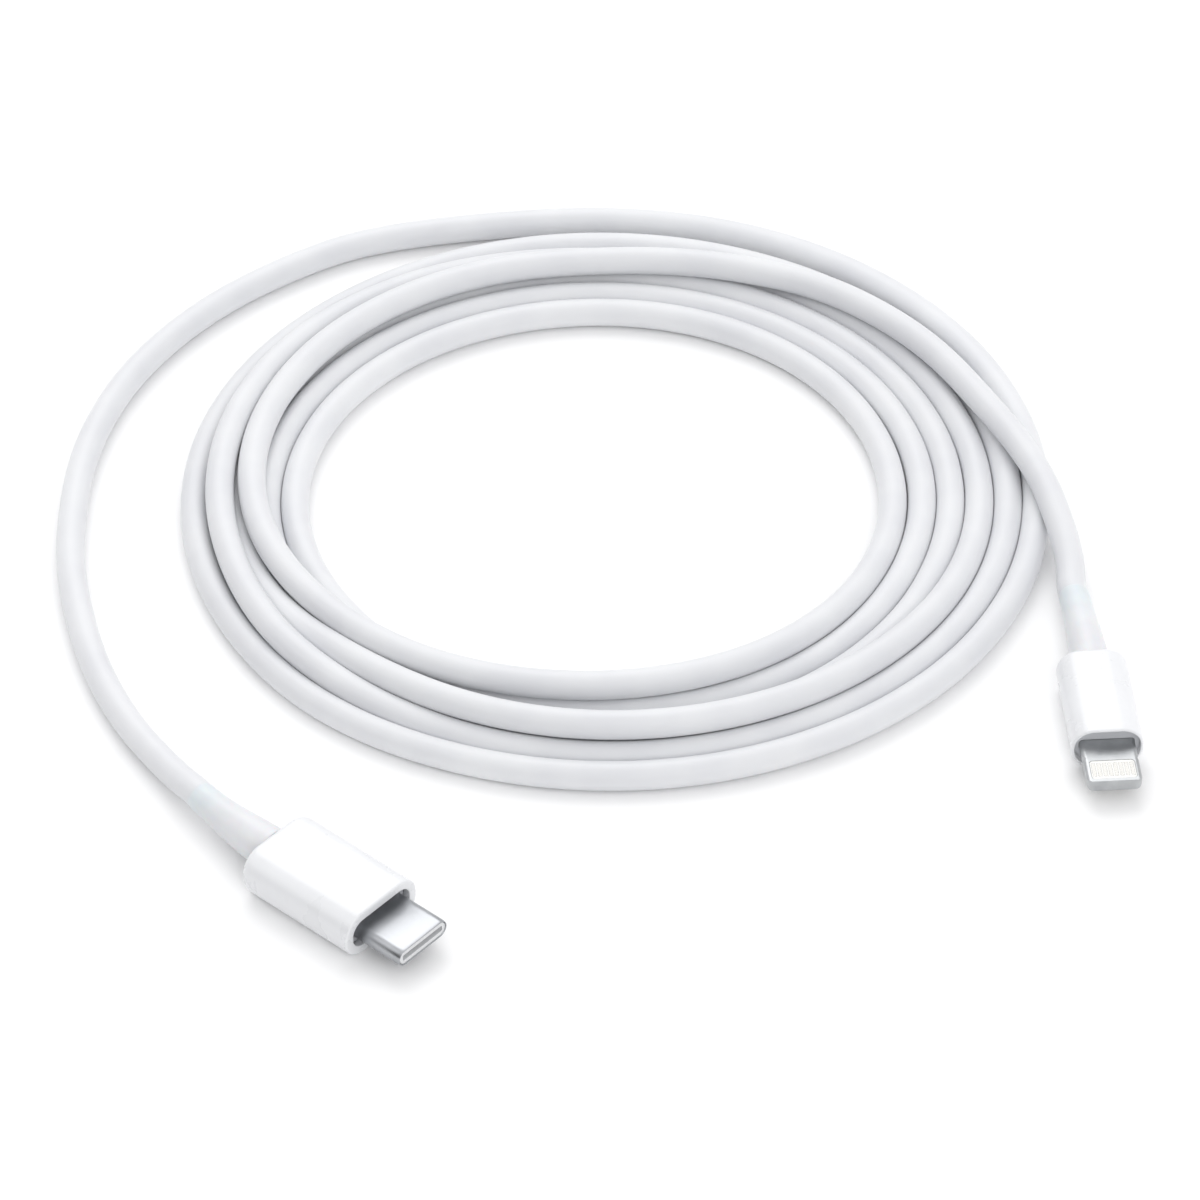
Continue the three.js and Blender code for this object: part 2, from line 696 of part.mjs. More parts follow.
const cable = new THREE.Group();
cable.add(
  plugs,
  mesh("cord_coil", coilRing(), MATERIAL.jacket),
  tail("cord_type_c_tail", TYPE_C_TAIL, TYPE_C, 18),
  tail("cord_blade_tail", BLADE_TAIL, BLADE, 4),
);

// The part's origin is the middle of the two plugs' footprint, on the table.
const footprint = new THREE.Box3().setFromObject(plugs, true);
const middle = footprint.getCenter(new THREE.Vector3());
cable.position.set(-middle.x, -middle.y, 0);

const part = new THREE.Group();
part.add(cable);

export default part;
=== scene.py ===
"""A white two metre charging cable, wound six times into a loose round coil on a table.

One end holds a type-C plug with an oval steel shell, the other a flat blade plug with eight contacts on
each face. The CAD model gives every place and size; this script gives the cord its real length and each
surface its finish.
"""
import json
import math

import bmesh
import bpy
import numpy as np
from mathutils import Matrix, Vector


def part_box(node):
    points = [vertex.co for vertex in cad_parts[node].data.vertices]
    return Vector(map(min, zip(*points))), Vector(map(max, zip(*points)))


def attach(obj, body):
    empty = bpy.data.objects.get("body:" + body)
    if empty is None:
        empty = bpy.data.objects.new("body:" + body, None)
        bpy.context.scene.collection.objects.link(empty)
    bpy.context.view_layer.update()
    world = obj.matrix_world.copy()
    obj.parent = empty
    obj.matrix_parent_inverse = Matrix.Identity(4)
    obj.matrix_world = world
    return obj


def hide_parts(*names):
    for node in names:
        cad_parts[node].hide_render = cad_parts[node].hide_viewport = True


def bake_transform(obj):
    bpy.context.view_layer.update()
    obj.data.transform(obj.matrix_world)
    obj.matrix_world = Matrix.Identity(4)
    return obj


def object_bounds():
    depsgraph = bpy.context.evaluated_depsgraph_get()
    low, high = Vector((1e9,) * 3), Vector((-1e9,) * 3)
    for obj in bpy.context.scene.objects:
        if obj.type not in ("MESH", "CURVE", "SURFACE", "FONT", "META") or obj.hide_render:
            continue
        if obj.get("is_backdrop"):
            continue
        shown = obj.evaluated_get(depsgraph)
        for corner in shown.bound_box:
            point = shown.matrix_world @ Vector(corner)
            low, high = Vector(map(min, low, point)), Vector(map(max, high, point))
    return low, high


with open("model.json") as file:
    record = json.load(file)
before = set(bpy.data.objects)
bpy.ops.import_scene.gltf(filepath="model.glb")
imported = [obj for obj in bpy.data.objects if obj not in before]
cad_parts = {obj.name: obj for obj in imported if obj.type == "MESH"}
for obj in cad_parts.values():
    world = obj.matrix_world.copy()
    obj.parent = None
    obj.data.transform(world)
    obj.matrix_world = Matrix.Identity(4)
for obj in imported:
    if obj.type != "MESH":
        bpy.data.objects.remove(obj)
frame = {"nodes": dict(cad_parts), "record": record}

CAD_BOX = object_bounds()
MM = 0.001
MOUNTS = {mount["name"]: mount for mount in frame["record"]["mounts"]}
NODES = frame["nodes"]


def node_middle(node):
    """The middle of a CAD node's box."""
    low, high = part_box(node)
    return (low + high) / 2


# The cord's route and the camera are measured from the middle of the coil, on the table.
COIL_CENTRE = node_middle("cord_coil")
COIL_CENTRE.z = 0


# ---- Camera ----

# Metres: where the camera looks, from the coil's middle, and from how far.
AIM = Vector((-0.0005, -0.0195, 0))
DISTANCE = 0.7
LOOKING_DOWN = math.radians(41)


def make_camera():
    data = bpy.data.cameras.new("camera")
    data.sensor_width = 36
    data.lens = 169
    camera = bpy.data.objects.new("camera", data)
    bpy.context.scene.collection.objects.link(camera)
    back = Vector((0, -math.cos(LOOKING_DOWN), math.sin(LOOKING_DOWN)))
    camera.location = COIL_CENTRE + AIM + back * DISTANCE
    camera.rotation_euler = (math.pi / 2 - LOOKING_DOWN, 0, 0)
    bpy.context.scene.camera = camera


make_camera()


# ---- The cord's route ----

# The height of the cord's middle where it lies on the table and where it lies on another strand.
CORD_DIAMETER = 0.0036
ON_TABLE = CORD_DIAMETER / 2
SECOND_LAYER = 0.00495

# From the type-C plug's strain relief to the coil.
TYPE_C_TAIL = [
    (-0.0495, -0.0565, 0.0024),
    (-0.0532, -0.0509, 0.0021),
    (-0.0568, -0.0457, 0.0019),
    (-0.0620, -0.0344, 0.00185),
    (-0.0654, -0.0216, 0.00182),
    (-0.0669, -0.0101, 0.00182),
    (-0.0662, 0.0066, 0.00182),
    (-0.0621, 0.0210, 0.00182),
    (-0.0555, 0.0323, 0.00182),
    (-0.0477, 0.0408, 0.00182),
    (-0.0380, 0.0480, 0.00182),
    (-0.0312, 0.0514, 0.00182),
    (-0.0179, 0.0544, ON_TABLE),
]

# The coil's radius and height each quarter turn, clockwise from the back: back, right, front, left.
COIL_QUARTERS = [
    (0.0560, ON_TABLE), (0.0548, ON_TABLE), (0.0537, ON_TABLE), (0.0518, ON_TABLE),
    (0.0502, ON_TABLE), (0.0512, ON_TABLE), (0.0501, ON_TABLE), (0.0484, SECOND_LAYER),
    (0.0468, ON_TABLE), (0.0476, ON_TABLE), (0.0484, SECOND_LAYER), (0.0465, ON_TABLE),
    (0.0434, ON_TABLE), (0.0440, ON_TABLE), (0.0464, ON_TABLE), (0.0428, ON_TABLE),
    (0.0400, ON_TABLE), (0.0404, ON_TABLE), (0.0422, ON_TABLE), (0.0392, ON_TABLE),
    (0.0366, ON_TABLE), (0.0367, ON_TABLE), (0.0415, SECOND_LAYER), (0.0446, SECOND_LAYER),
]
POINTS_PER_QUARTER = 5

# From the coil's back over its right side and down to the blade plug: degrees from +X, radius, height.
OVER_THE_COIL = [
    (90, 0.0426, 0.0052),
    (73, 0.0440, 0.0052),
    (56, 0.0462, 0.0052),
    (43, 0.0475, 0.0052),
    (29, 0.0488, 0.0053),
    (14, 0.0504, 0.0054),
    (5, 0.0528, 0.0054),
    (-3, 0.0554, 0.0052),
]
BLADE_TAIL = [
    (0.0568, -0.0090, 0.0044),
    (0.0578, -0.0140, 0.0036),
    (0.0584, -0.0184, 0.0030),
]


def through(points, spacing):
    """Points a given spacing apart on the smooth curve through points."""
    p = np.array(points, float)
    p = np.vstack([2 * p[0] - p[1], p, 2 * p[-1] - p[-2]])
    curve = []
    for before, start, end, after in zip(p, p[1:], p[2:], p[3:]):
        steps = 24
        for t in np.arange(steps)[:, None] / steps:
            curve.append(
                0.5
                * (
                    2 * start
                    + (end - before) * t
                    + (2 * before - 5 * start + 4 * end - after) * t**2
                    + (3 * start - before - 3 * end + after) * t**3
                )
            )
    curve = np.array(curve + [p[-2]])
    along = np.concatenate([[0], np.cumsum(np.linalg.norm(np.diff(curve, axis=0), axis=1))])
    stops = np.linspace(0, along[-1], int(along[-1] / spacing) + 1)
    return np.stack([np.interp(stops, along, curve[:, axis]) for axis in range(curve.shape[1])], axis=1)


def coil_points():
    """The turns of the coil, as points about its centre."""
    quarters = np.array(COIL_QUARTERS + [OVER_THE_COIL[0][1:]])
    made = []
    for i in range(len(COIL_QUARTERS)):
        before, start, end = quarters[max(i - 1, 0)], quarters[i], quarters[i + 1]
        after = quarters[min(i + 2, len(quarters) - 1)]
        for step in range(POINTS_PER_QUARTER):
            t = step / POINTS_PER_QUARTER
            leave = (end - before) / 2
            arrive = (after - start) / 2
            radius, height = (
                (1 + 2 * t) * (1 - t) ** 2 * start
                + t * (1 - t) ** 2 * leave
                + t**2 * (3 - 2 * t) * end
                + t**2 * (t - 1) * arrive
            )
            made.append(polar(90 - 90 * (i + t), radius, height))
    return made


def polar(degrees, radius, height):
    angle = math.radians(degrees)
    return (radius * math.cos(angle), radius * math.sin(angle), height)


# How the route is evened out and its strands pushed apart: rounds of each, and how much of an overlap
# each push takes away.
EVENING_ROUNDS = 18
SETTLING_ROUNDS = 260
PUSH = 0.18


def smoothed(rows, rounds, held):
    """Rows evened out along the cord, but for held at each end."""
    made = rows.copy()
    for _ in range(rounds):
        made[1:-1] = (made[:-2] + 2 * made[1:-1] + made[2:]) / 4
        made[:held] = rows[:held]
        made[-held:] = rows[-held:]
    return made


def settled(points, held):
    """Pushes strands that cross apart until they lie on each other and on the table.

    held is how many points at each end stay where they are."""
    base = smoothed(points, EVENING_ROUNDS, held)
    p = base.copy()
    reach = int(3 * CORD_DIAMETER / np.linalg.norm(p[1] - p[0]))
    far = np.linalg.norm(p[:, None] - p[None, :], axis=2)
    first, second = np.nonzero(far < 1.5 * CORD_DIAMETER)
    apart = second - first > reach
    first, second = first[apart], second[apart]
    for _ in range(SETTLING_ROUNDS):
        between = p[second] - p[first]
        gap = np.linalg.norm(between, axis=1)
        overlap = np.clip(CORD_DIAMETER - gap, 0, None) / gap
        shift = between * (PUSH * overlap)[:, None]
        np.add.at(p, second, shift)
        np.add.at(p, first, -shift)
        p = base + smoothed(p - base, 1, held)
        p[:, 2] = np.maximum(p[:, 2], ON_TABLE)
        p[:held] = base[:held]
        p[-held:] = base[-held:]
    return p


# ---- Shapes ----

def oval(width, height, corner, steps=12):
    """Points round a rectangle with round corners, in a plug's Y and Z."""
    radius = min(corner, width / 2, height / 2)
    points = []
    for quarter in range(4):
        side = 1 if quarter in (0, 3) else -1
        up = 1 if quarter in (0, 1) else -1
        for step in range(steps):
            angle = math.pi / 2 * (quarter + step / (steps - 1))
            y = side * (width / 2 - radius) + radius * math.cos(angle)
            z = up * (height / 2 - radius) + radius * math.sin(angle)
            points.append((y, z))
    return points


def loft(name, rings, closed, material):
    """A smooth mesh through rings of equally many points. closed joins the last ring to the first.

    Its UV map is in metres: round each ring, and along from ring to ring."""
    work = bmesh.new()
    layer = work.loops.layers.uv.new("metres")
    made = [[work.verts.new(point) for point in ring] for ring in rings]
    pairs = list(zip(made, made[1:]))
    if closed:
        pairs.append((made[-1], made[0]))
    along = 0.0
    for start, end in pairs:
        next_along = along + (end[0].co - start[0].co).length
        around = 0.0
        for i, corner in enumerate(start):
            beside = (i + 1) % len(start)
            next_around = around + (start[beside].co - corner.co).length
            face = work.faces.new((corner, start[beside], end[beside], end[i]))
            face.smooth = True
            places = [
                (around, along),
                (next_around, along),
                (next_around, next_along),
                (around, next_along),
            ]
            for loop, place in zip(face.loops, places):
                loop[layer].uv = place
            around = next_around
        along = next_along
    if not closed:
        work.faces.new(list(reversed(made[0])))
        work.faces.new(made[-1])
    bmesh.ops.remove_doubles(work, verts=work.verts, dist=1e-8)
    bmesh.ops.recalc_face_normals(work, faces=work.faces)
    mesh = bpy.data.meshes.new(name)
    work.to_mesh(mesh)
    work.free()
    piece = bpy.data.objects.new(name, mesh)
    bpy.context.scene.collection.objects.link(piece)
    mesh.materials.append(material)
    return piece


class Plug:
    """A plug's own frame: X forward from the middle of its front lip, Z up, in metres."""

    def __init__(self, tip, reach):
        forward = Vector(MOUNTS[tip]["axis"]).normalized()
        origin = Vector(MOUNTS[tip]["pos_m"]) - reach * MM * forward
        up = Vector((0, 0, 1))
        turned = Matrix((forward, up.cross(forward), up)).transposed().to_4x4()
        self.place = Matrix.Translation(origin) @ turned

    def at(self, x, y, z):
        """A point given in the plug's own millimetres."""
        return self.place @ (Vector((x, y, z)) * MM)

    def ring(self, x, width, height, corner):
        return [self.at(x, y, z) for y, z in oval(width, height, corner)]

    def bent_ring(self, x, radius, start, length, bend):
        """A round section at x, where everything behind start curves sideways by bend over length."""
        back = start - x
        if back <= 0:
            return self.ring(x, 2 * radius, 2 * radius, radius)
        curve = length / bend
        turn = back / curve
        ring = []
        for y, z in oval(2 * radius, 2 * radius, radius):
            arm = curve - y
            ring.append(self.at(start - arm * math.sin(turn), curve - arm * math.cos(turn), z))
        return ring

    def bent_point(self, x, start, length, bend):
        """A point on the curved axis, which runs straight on past length."""
        curve = length / bend
        back = min(start - x, length)
        turn = back / curve
        beyond = max(start - x - length, 0)
        return self.at(
            start - curve * math.sin(turn) - beyond * math.cos(turn),
            curve - curve * math.cos(turn) + beyond * math.sin(turn),
            0,
        )


# Each plug is placed by its tip's mount, which lies this many millimetres before the front lip.
TYPE_C = Plug("type_c_shell_plug", 6.5)
BLADE = Plug("blade_plug", 6.65)


# ---- Materials ----

def linear(code):
    """The linear colour of an sRGB hex code."""
    channels = [int(code[i : i + 2], 16) / 255 for i in (0, 2, 4)]
    return [c / 12.92 if c <= 0.04045 else ((c + 0.055) / 1.055) ** 2.4 for c in channels] + [1]


def add(tree, kind, settings, links=()):
    """Adds a node. settings are its properties and inputs, links pairs of an input and what feeds it."""
    node = tree.nodes.new(kind)
    for key, value in settings.items():
        if isinstance(key, str) and hasattr(node, key):
            setattr(node, key, value)
        else:
            node.inputs[key].default_value = value
    for socket, output in links:
        tree.links.new(output, node.inputs[socket])
    return node


def start_material(name, settings):
    """A material with a Principled shader of the given settings, and its object coordinates."""
    material = bpy.data.materials.new(name)
    material.use_nodes = True
    tree = material.node_tree
    tree.nodes.clear()
    shader = add(tree, "ShaderNodeBsdfPrincipled", settings)
    add(tree, "ShaderNodeOutputMaterial", {}, [("Surface", shader.outputs["BSDF"])])
    place = add(tree, "ShaderNodeTexCoord", {})
    return material, tree, shader, place


def vary(tree, shader, place, size, colours, roughness, detail=2):
    """Mottles the colour and the roughness together, in patches of the given size in millimetres."""
    patches = add(
        tree,
        "ShaderNodeTexNoise",
        {"Scale": 1 / (size * MM), "Detail": detail, "Roughness": 0.55},
        [("Vector", place)],
    )
    tint = add(tree, "ShaderNodeValToRGB", {}, [("Fac", patches.outputs["Fac"])])
    ramp = tint.color_ramp.elements
    ramp[0].position, ramp[0].color = 0.35, linear(colours[0])
    ramp[1].position, ramp[1].color = 0.65, linear(colours[1])
    tree.links.new(tint.outputs["Color"], shader.inputs["Base Color"])
    gloss = add(
        tree,
        "ShaderNodeMapRange",
        {"From Min": 0.3, "From Max": 0.7, "To Min": roughness[0], "To Max": roughness[1]},
        [("Value", patches.outputs["Fac"])],
    )
    tree.links.new(gloss.outputs["Result"], shader.inputs["Roughness"])


def emboss(tree, shader, height, depth, strength=1.0):
    """Feeds a pattern to the shader's normal as relief of the given depth in millimetres."""
    bump = add(tree, "ShaderNodeBump", {"Strength": strength, "Distance": depth * MM}, [("Height", height)])
    tree.links.new(bump.outputs["Normal"], shader.inputs["Normal"])


# Light goes a little way into the elastomer, and its surface has a silk sheen.
ELASTOMER = {
    "IOR": 1.5,
    "Sheen Roughness": 0.5,
    "Subsurface Weight": 0.15,
    "Subsurface Scale": 0.8 * MM,
}


def extruded_tpe():
    """The cord's jacket. Thermoplastic elastomer drawn out of a round die: a soft silk sheen, faint draw
    lines along the cord and a fine dry grain. The real grain is 0.05 mm, drawn here at 0.2 mm so that it
    shows."""
    material, tree, shader, place = start_material("extruded_tpe_white", {"Sheen Weight": 0.12, **ELASTOMER})
    vary(tree, shader, place.outputs["Object"], 9, ("DBDCDF", "E1E2E4"), (0.4, 0.52))
    shader.inputs["Subsurface Radius"].default_value = (1, 0.95, 0.9)
    lines = add(
        tree,
        "ShaderNodeMapping",
        {"Scale": (1 / (0.3 * MM), 1 / (30 * MM), 1)},
        [("Vector", place.outputs["UV"])],
    )
    drawn = add(
        tree,
        "ShaderNodeTexNoise",
        {"Scale": 1.0, "Detail": 1},
        [("Vector", lines.outputs["Vector"])],
    )
    grain = add(
        tree,
        "ShaderNodeTexNoise",
        {"Scale": 1 / (0.2 * MM), "Detail": 2},
        [("Vector", place.outputs["Object"])],
    )
    both = add(
        tree,
        "ShaderNodeMath",
        {"operation": "MULTIPLY_ADD", 1: 0.6},
        [(0, drawn.outputs["Fac"]), (2, grain.outputs["Fac"])],
    )
    emboss(tree, shader, both.outputs["Value"], 0.012, 0.6)
    return material


def moulded_tpe():
    """The strain reliefs. The same elastomer, moulded over the cord: silkier than the cord, with the finer
    grain of a spark-eroded mould, 0.12 mm."""
    material, tree, shader, place = start_material("moulded_tpe_white", {"Sheen Weight": 0.1, **ELASTOMER})
    vary(tree, shader, place.outputs["Object"], 5, ("DCDDE0", "E2E3E5"), (0.36, 0.46))
    grain = add(
        tree,
        "ShaderNodeTexVoronoi",
        {"Scale": 1 / (0.12 * MM)},
        [("Vector", place.outputs["Object"])],
    )
    emboss(tree, shader, grain.outputs["Distance"], 0.006, 0.5)
    return material


def moulded_abs(name, colours, roughness, coat):
    """Moulded ABS and polycarbonate blend, white with a thin coat of gloss, or satin and grey where the grey
    is partly painted shade for a recessed face:
    dense, with the shallow orange-peel waviness, 0.7 mm from crest to crest, that a polished mould leaves."""
    material, tree, shader, place = start_material(
        name,
        {"IOR": 1.54, "Coat Weight": coat, "Coat Roughness": 0.08},
    )
    vary(tree, shader, place.outputs["Object"], 6, colours, roughness, 4)
    peel = add(
        tree,
        "ShaderNodeTexNoise",
        {"Scale": 1 / (0.7 * MM), "Detail": 1},
        [("Vector", place.outputs["Object"])],
    )
    emboss(tree, shader, peel.outputs["Fac"], 0.006, 0.45)
    return material


def satin_steel(name, colours, roughness, grain):
    """Steel, deep drawn and nickel-plated or moulded from powder: a silver satin gloss with fine lines.
    grain is their length and width in millimetres."""
    material, tree, shader, place = start_material(name, {"Metallic": 1})
    vary(tree, shader, place.outputs["Object"], 2.5, colours, roughness, 3)
    length, width = grain
    stretch = add(
        tree,
        "ShaderNodeMapping",
        {"Scale": (1 / (length * MM), 1 / (width * MM), 1 / (width * MM))},
        [("Vector", place.outputs["Object"])],
    )
    drawn = add(
        tree,
        "ShaderNodeTexNoise",
        {"Scale": 1.0, "Detail": 3},
        [("Vector", stretch.outputs["Vector"])],
    )
    emboss(tree, shader, drawn.outputs["Fac"], 0.002, 0.35)
    return material


def moulded_plain(name, colours, roughness, speck):
    """A moulded, pressed or extruded material with a fine even speck, such as glass-filled nylon, solder
    mask or wire insulation. speck is its size in millimetres."""
    material, tree, shader, place = start_material(name, {"IOR": 1.52})
    vary(tree, shader, place.outputs["Object"], speck, colours, roughness, 4)
    grit = add(
        tree,
        "ShaderNodeTexNoise",
        {"Scale": 1 / (speck * MM), "Detail": 3},
        [("Vector", place.outputs["Object"])],
    )
    emboss(tree, shader, grit.outputs["Fac"], 0.004, 0.4)
    return material


def soft_metal(name, colours, roughness, pit):
    """Plated copper alloy or tinned sheet: a satin metal with shallow pits. pit is their size in
    millimetres."""
    material, tree, shader, place = start_material(name, {"Metallic": 1})
    vary(tree, shader, place.outputs["Object"], 4 * pit, colours, roughness, 3)
    pits = add(
        tree,
        "ShaderNodeTexVoronoi",
        {"Scale": 1 / (pit * MM)},
        [("Vector", place.outputs["Object"])],
    )
    emboss(tree, shader, pits.outputs["Distance"], 0.003, 0.4)
    return material


JACKET = extruded_tpe()
SLEEVE = moulded_tpe()
HOUSING = moulded_abs("moulded_abs_gloss_white", ("E5E6E8", "E9EAEC"), (0.24, 0.34), 0.1)
# The front faces in the housings' mouths are grey partly as painted shade, standing in for the shadow inside
# the recess.
FACE_WITH_PAINTED_SHADE = moulded_abs("moulded_abs_satin_grey_with_painted_recess_shade", ("C2C4C8", "CCCED1"), (0.34, 0.44), 0)
BRIGHT_STEEL = satin_steel("nickel_plated_drawn_steel", ("AAACAF", "B5B7BA"), (0.3, 0.4), (4, 0.12))
FRAME_STEEL = satin_steel(
    "stainless_steel_metal_injection_moulded", ("ABADAF", "BDBFC0"), (0.3, 0.42), (0.3, 0.2)
)
CAD_MATERIALS = {
    "housing_plastic": HOUSING,
    "face_plastic": FACE_WITH_PAINTED_SHADE,
    "jacket": SLEEVE,
    "bright_steel": BRIGHT_STEEL,
    "frame_steel": FRAME_STEEL,
    "mould_plastic": moulded_plain("polyethylene_inner_moulding", ("D3D5D8", "DEE0E3"), (0.5, 0.65), 0.5),
    "white_insulator": moulded_plain("glass_filled_nylon_white", ("EFEFEB", "F6F6F3"), (0.3, 0.42), 0.35),
    "grey_insulator": moulded_plain("liquid_crystal_polymer_grey", ("D0D1D3", "DCDDDE"), (0.36, 0.5), 0.3),
    "tin_plate": soft_metal("tin_plated_steel_pressed", ("BEC0C3", "CDCFD2"), (0.32, 0.45), 0.3),
    "copper": soft_metal("copper_crimp_drawn", ("A9673B", "C07E50"), (0.3, 0.45), 0.25),
    "contact_metal": soft_metal("palladium_nickel_plated_contact", ("A6A5A2", "B4B3B0"), (0.2, 0.32), 0.15),
    "circuit_board": moulded_plain(
        "glass_epoxy_with_green_solder_mask", ("1A4E34", "226543"), (0.3, 0.42), 0.6
    ),
    "chip_resin": moulded_plain("moulded_epoxy_chip", ("131416", "1D1E20"), (0.55, 0.7), 0.15),
    "red_wire": moulded_plain("extruded_polyethylene_red", ("A81F26", "B92B31"), (0.3, 0.4), 0.4),
    "black_wire": moulded_plain("extruded_polyethylene_black", ("18191B", "232426"), (0.3, 0.4), 0.4),
    "green_wire": moulded_plain("extruded_polyethylene_green", ("26703E", "31834A"), (0.3, 0.4), 0.4),
    "white_wire": moulded_plain("extruded_polyethylene_white", ("E2E2E0", "ECECEA"), (0.3, 0.4), 0.4),
    "blue_wire": moulded_plain("extruded_polyethylene_blue", ("23518F", "2E60A6"), (0.3, 0.4), 0.4),
}


def finish_cad_nodes():
    for part in frame["record"]["subparts"]:
        slots = NODES[part["node"]].data.materials
        slots.clear()
        slots.append(CAD_MATERIALS[part["material_slot"]])


finish_cad_nodes()


# ---- The cord ----

# Millimetres: the reliefs' length, how far the cord runs into them and straight on behind them, and their
# gap behind the housing.
RELIEF_LENGTH = 13
INTO_RELIEF = 2
STRAIGHT_ON = 2
RELIEF_GAP = 0.05

# Each housing's length and the angle, in degrees, that its relief bends by.
TYPE_C_LENGTH, TYPE_C_BEND = 17.2, 10
BLADE_LENGTH, BLADE_BEND = 15.0, -3

# The tube's sides, the distance in metres between its rings, and the rings at each end that stay put.
CORD_SIDES = 20
POINT_SPACING = 0.0012
HELD_POINTS = 4


def relief_point(plug, housing_length, bend, back):
    """A point on a strain relief's axis, back millimetres behind the housing."""
    start = -housing_length - RELIEF_GAP
    return plug.bent_point(start - back, start, RELIEF_LENGTH, math.radians(bend))


def make_cord():
    """One tube from one strain relief to the other, as long as the real cord."""
    outside = RELIEF_LENGTH - INTO_RELIEF
    behind = RELIEF_LENGTH + STRAIGHT_ON
    type_c_end = [relief_point(TYPE_C, TYPE_C_LENGTH, TYPE_C_BEND, back) for back in (outside, behind)]
    blade_end = [relief_point(BLADE, BLADE_LENGTH, BLADE_BEND, back) for back in (behind, outside)]
    loose = TYPE_C_TAIL + coil_points() + [polar(*place) for place in OVER_THE_COIL] + BLADE_TAIL
    on_coil = [COIL_CENTRE + Vector(point) for point in loose]
    centres = through([tuple(p) for p in type_c_end + on_coil + blade_end], POINT_SPACING)
    centres = settled(centres, HELD_POINTS)
    ways = np.gradient(centres, axis=0)
    rings = []
    for centre, way in zip(centres, ways):
        side = Vector(way).normalized().cross(Vector((0, 0, 1))).normalized()
        up = side.cross(Vector(way).normalized())
        angles = [math.tau * i / CORD_SIDES for i in range(CORD_SIDES)]
        outward = [math.cos(angle) * side + math.sin(angle) * up for angle in angles]
        rings.append([Vector(centre) + ON_TABLE * way_out for way_out in outward])
    cord = loft("cord_jacket", rings, False, JACKET)
    length = float(np.linalg.norm(np.diff(centres, axis=0), axis=1).sum())
    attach(cord, "cord")
    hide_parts("cord_coil", "cord_type_c_tail", "cord_blade_tail")
    tuple(centres[0])
    [tuple(p) for p in centres]
    return length


CORD_LENGTH = make_cord()


# ---- Housings, strain reliefs and the shell ----

# Millimetres: how deep both housings' mouths run behind the front, and how thick their rear walls are.
MOUTH_DEPTH = 1.9
REAR_WALL = 1


def quarter_turn(steps):
    """Angles from 0 to a quarter turn."""
    return [math.pi / 2 * step / steps for step in range(steps + 1)]


def make_housing(name, plug, body, size, wall, lip, rear, neck):
    """A hollow housing: round rear corners, a softened front edge and a mouth behind its lip.

    size is its length, width, height and corner radius. rear is its rear corners' radii in plan and in
    height. neck is the radius of the hole for the strain relief. An extra ring beside each round edge keeps
    the flat faces flat."""
    length, width, height, corner = size
    plan, side = rear
    inner = -MOUTH_DEPTH
    edge, rim = 0.25, 0.08
    flat, rear_flat, front_flat = 0.3, 0.4, 0.5

    def ring(x, inset_y, inset_z):
        return plug.ring(x, width - 2 * inset_y, height - 2 * inset_z, corner - min(inset_y, inset_z))

    def rear_inset(back, radius):
        return radius - math.sqrt(max(radius**2 - (radius - min(back, radius)) ** 2, 0))

    rings = [ring(-length, plan + flat, side + flat)]
    for angle in quarter_turn(16):
        back = plan * (1 - math.cos(angle))
        rings.append(ring(back - length, rear_inset(back, plan), rear_inset(back, side)))
    rings.append(ring(plan - length + rear_flat, 0, 0))
    rings.append(ring(-edge - front_flat, 0, 0))
    for angle in quarter_turn(5):
        inset = edge * (1 - math.cos(angle))
        rings.append(ring(edge * (math.sin(angle) - 1), inset, inset))
    for angle in quarter_turn(3):
        inset = lip - rim + rim * math.sin(angle)
        rings.append(ring(-rim * (1 - math.cos(angle)), inset, inset))
    rings.append(ring(inner, lip, lip))
    rings.append(ring(inner, wall, wall))
    rings.append(ring(plan - length, wall, wall))
    rings.append(ring(REAR_WALL - length, wall + plan / 2, wall + side / 2))
    for x in (REAR_WALL - length, -length):
        rings.append(plug.ring(x, 2 * neck, 2 * neck, neck))
    piece = loft(name, rings, True, HOUSING)
    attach(piece, body)
    return piece


def make_relief(name, plug, housing_length, radii, neck, bend, flange):
    """The tapered sleeve behind a housing, with the neck and flange that the housing holds.

    radii are its radius at the housing and at its end, flange its width, height, corner radius and
    thickness."""
    base, end = radii
    start = -housing_length - RELIEF_GAP
    turn = math.radians(bend)
    width, height, corner, thickness = flange
    front = -housing_length + REAR_WALL + RELIEF_GAP + thickness
    slack = 0.02
    bore = ON_TABLE / MM + slack
    rings = [
        plug.ring(front, width, height, corner),
        plug.ring(front - thickness, width, height, corner),
        plug.ring(front - thickness, 2 * neck, 2 * neck, neck),
        plug.ring(start, 2 * neck, 2 * neck, neck),
    ]
    round_edge = 0.18
    for angle in quarter_turn(4):
        x = start - round_edge * (1 - math.cos(angle))
        radius = base - round_edge * (1 - math.sin(angle))
        rings.append(plug.bent_ring(x, radius, start, RELIEF_LENGTH, turn))
    steps = 26
    for step in range(1, steps):
        along = step / steps
        taper = 0.5 - 0.5 * math.cos(math.pi * along)
        x = start - round_edge - (RELIEF_LENGTH - 2 * round_edge) * along
        rings.append(plug.bent_ring(x, base + (end - base) * taper, start, RELIEF_LENGTH, turn))
    for angle in quarter_turn(4):
        x = start - RELIEF_LENGTH + round_edge * (1 - math.sin(angle))
        radius = end - (end - bore) * (1 - math.cos(angle))
        rings.append(plug.bent_ring(x, radius, start, RELIEF_LENGTH, turn))
    bore_steps = 12
    for step in range(bore_steps, -1, -1):
        x = start - (RELIEF_LENGTH - round_edge) * step / bore_steps
        rings.append(plug.bent_ring(x, bore, start, RELIEF_LENGTH, turn))
    rings.append(plug.ring(front, 2 * bore, 2 * bore, bore))
    piece = loft(name, rings, True, SLEEVE)
    plug.bent_point(start - RELIEF_LENGTH, start, RELIEF_LENGTH, turn)
    plug.at(start, 0, 0)
    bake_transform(piece)
    return piece


